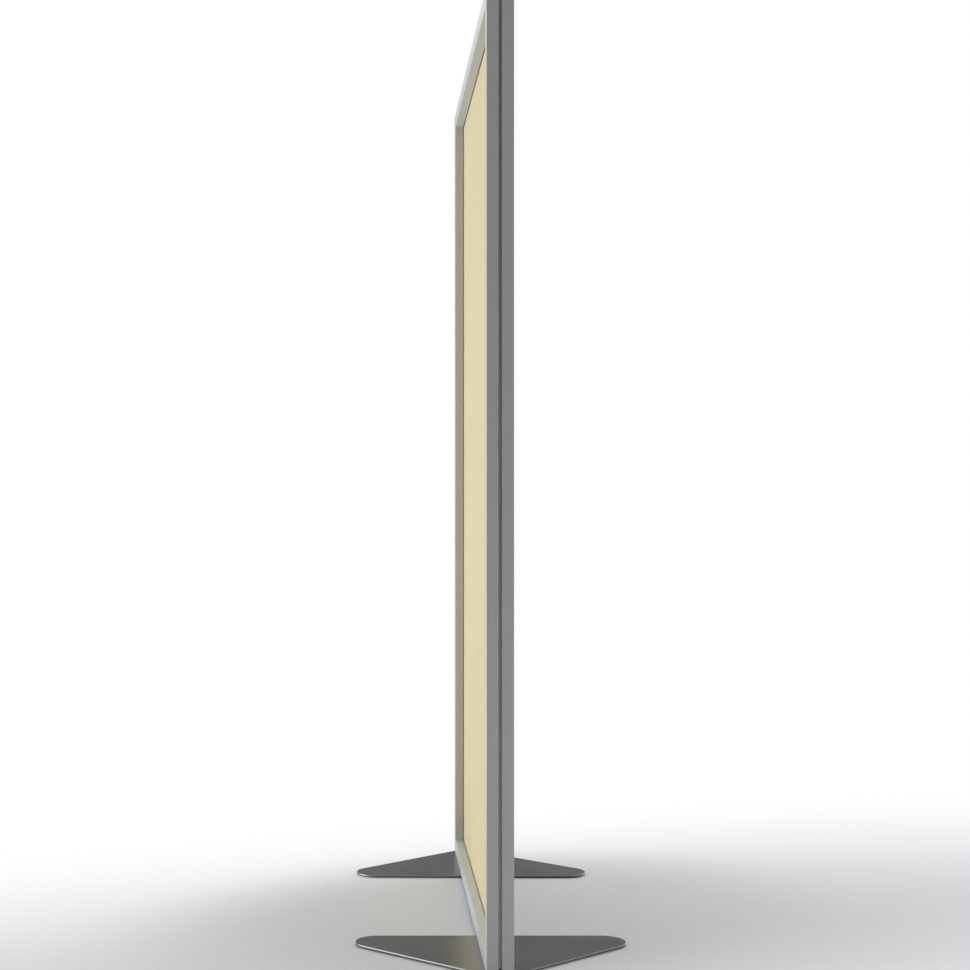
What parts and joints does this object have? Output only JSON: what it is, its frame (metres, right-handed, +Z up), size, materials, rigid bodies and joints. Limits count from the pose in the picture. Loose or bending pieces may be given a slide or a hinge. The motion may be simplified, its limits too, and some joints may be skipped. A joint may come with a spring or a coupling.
{
  "type": "floor partition panel",
  "caption": "Free-standing office screen: a cloth-covered board in a mitred aluminium frame with a linking slot, on flat triangular steel feet.",
  "frame": {"origin": "on the floor, below the middle of the panel", "axes": "+X along the panel from the far end to the near end, +Y from the front (the side on the picture's left) to the back, +Z up"},
  "size_m": [1, 0.47, 1.6061],
  "materials": {
    "satin_aluminium": "satin anodised",
    "cast_key": "as cast",
    "board": "bare fibreboard",
    "cloth": "fine plain weave, pale yellow",
    "strip_rubber": "matt grey",
    "block_plastic": "moulded grey",
    "foot_steel": "satin dark grey powder coat",
    "zinc_steel": "bright zinc plate",
    "pad_rubber": "matt black anti-slip"
  },
  "bodies": {
    "root": {"near_post": "satin_aluminium", "far_post": "satin_aluminium", "top_rail": "satin_aluminium", "bottom_rail": "satin_aluminium", "corner_key_top_near_front": "cast_key", "corner_key_top_near_back": "cast_key", "corner_key_bottom_near_front": "cast_key", "corner_key_bottom_near_back": "cast_key", "corner_key_bottom_far_front": "cast_key", "corner_key_bottom_far_back": "cast_key", "corner_key_top_far_front": "cast_key", "corner_key_top_far_back": "cast_key", "infill_board": "board", "front_cloth": "cloth", "back_cloth": "cloth", "glazing_strip_top_front": "strip_rubber", "glazing_strip_top_back": "strip_rubber", "glazing_strip_near_front": "strip_rubber", "glazing_strip_near_back": "strip_rubber", "glazing_strip_bottom_front": "strip_rubber", "glazing_strip_bottom_back": "strip_rubber", "glazing_strip_far_front": "strip_rubber", "glazing_strip_far_back": "strip_rubber", "setting_block_near": "block_plastic", "setting_block_far": "block_plastic", "near_foot_plate": "foot_steel", "far_foot_plate": "foot_steel", "near_foot_screw_1": "zinc_steel", "near_foot_screw_2": "zinc_steel", "near_nut_bar": "zinc_steel", "far_foot_screw_1": "zinc_steel", "far_foot_screw_2": "zinc_steel", "far_nut_bar": "zinc_steel", "near_floor_pad_outer": "pad_rubber", "near_floor_pad_back": "pad_rubber", "near_floor_pad_front": "pad_rubber", "far_floor_pad_outer": "pad_rubber", "far_floor_pad_back": "pad_rubber", "far_floor_pad_front": "pad_rubber"}
  },
  "joints": []
}
